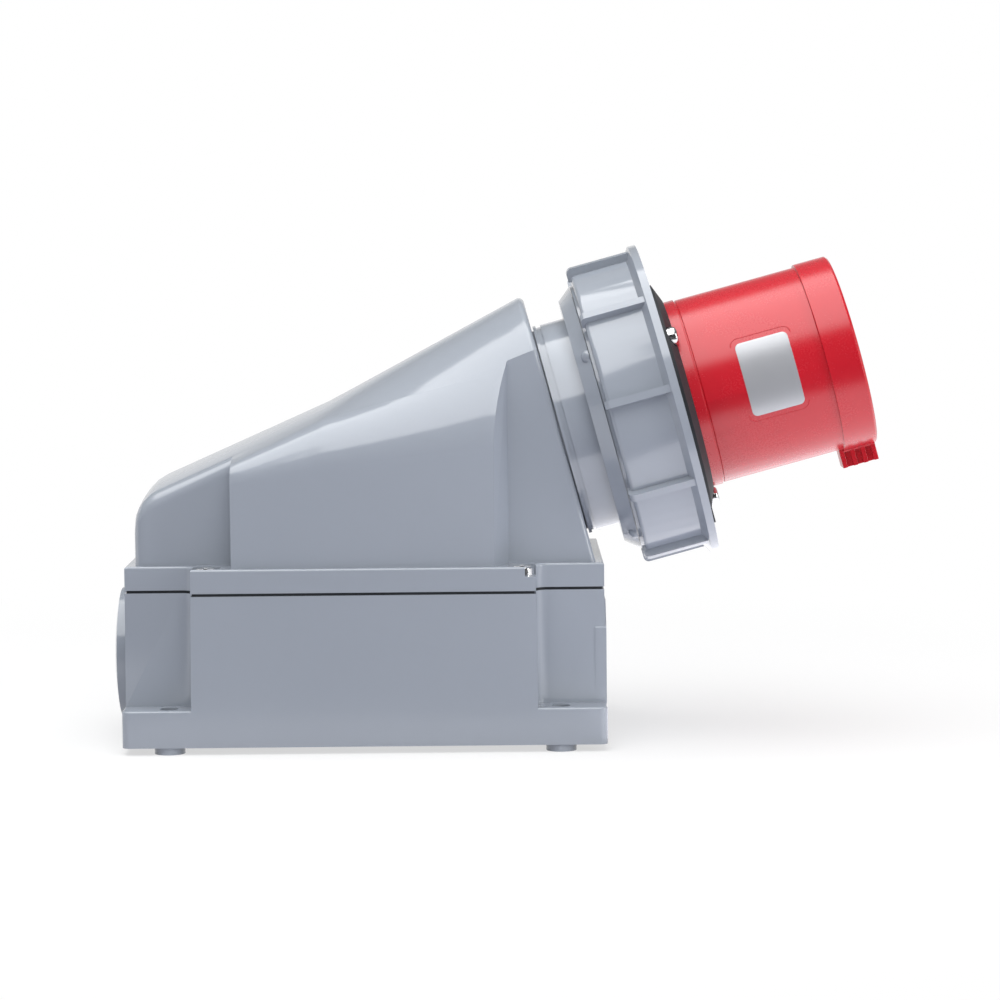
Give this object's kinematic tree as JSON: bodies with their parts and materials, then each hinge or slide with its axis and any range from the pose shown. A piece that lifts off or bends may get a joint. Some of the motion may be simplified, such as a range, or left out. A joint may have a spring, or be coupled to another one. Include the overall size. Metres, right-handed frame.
{
  "type": "industrial appliance inlet",
  "caption": "Wall-mounted industrial power inlet: grey box with a sloping hood, tilted red shroud round the contact pins, and a ribbed bayonet ring that turns.",
  "frame": {"origin": "centre of the four fixing holes, in the wall face under the feet", "axes": "+X along the box towards the inlet end, +Y to one flank, +Z away from the wall. The inlet's axis leaves the hood 15 degrees above the X axis."},
  "size_m": [0.2812, 0.1164, 0.1783],
  "materials": {
    "grey_housing": "satin moulded",
    "grey_inlet": "satin moulded",
    "red_shroud": "gloss moulded",
    "dark_insert": "matt moulded",
    "seal_rubber": "matt",
    "screw_steel": "plated",
    "spring_steel": "plain",
    "contact_metal": "turned"
  },
  "bodies": {
    "housing": {"base_box": "grey_housing", "cover_seal": "seal_rubber", "cover_hood": "grey_housing", "cover_screws": "screw_steel", "blanking_plug": "grey_housing", "plug_seal": "seal_rubber", "plug_nut": "grey_housing", "inlet_body": "grey_inlet", "neck_seal": "seal_rubber", "neck_screws": "screw_steel", "ring_retainer": "spring_steel", "shroud": "red_shroud", "face_gasket": "seal_rubber", "shroud_screws": "screw_steel", "contact_carrier": "dark_insert", "terminal_housing": "dark_insert", "carrier_screws": "screw_steel", "earth_pin": "contact_metal", "pin_neutral": "contact_metal", "pin_l1": "contact_metal", "pin_l2": "contact_metal", "pin_l3": "contact_metal", "pilot_pin": "contact_metal", "clamp_screws": "screw_steel"},
    "ring": {"locking_ring": "grey_inlet"}
  },
  "joints": [
    {"name": "ring_turn", "type": "hinge", "parent": "housing", "child": "ring", "pos_m": [0.0707, 0, 0.1105], "axis": [0.9659, 0, 0.2588], "range_deg": [0, 60]}
  ]
}
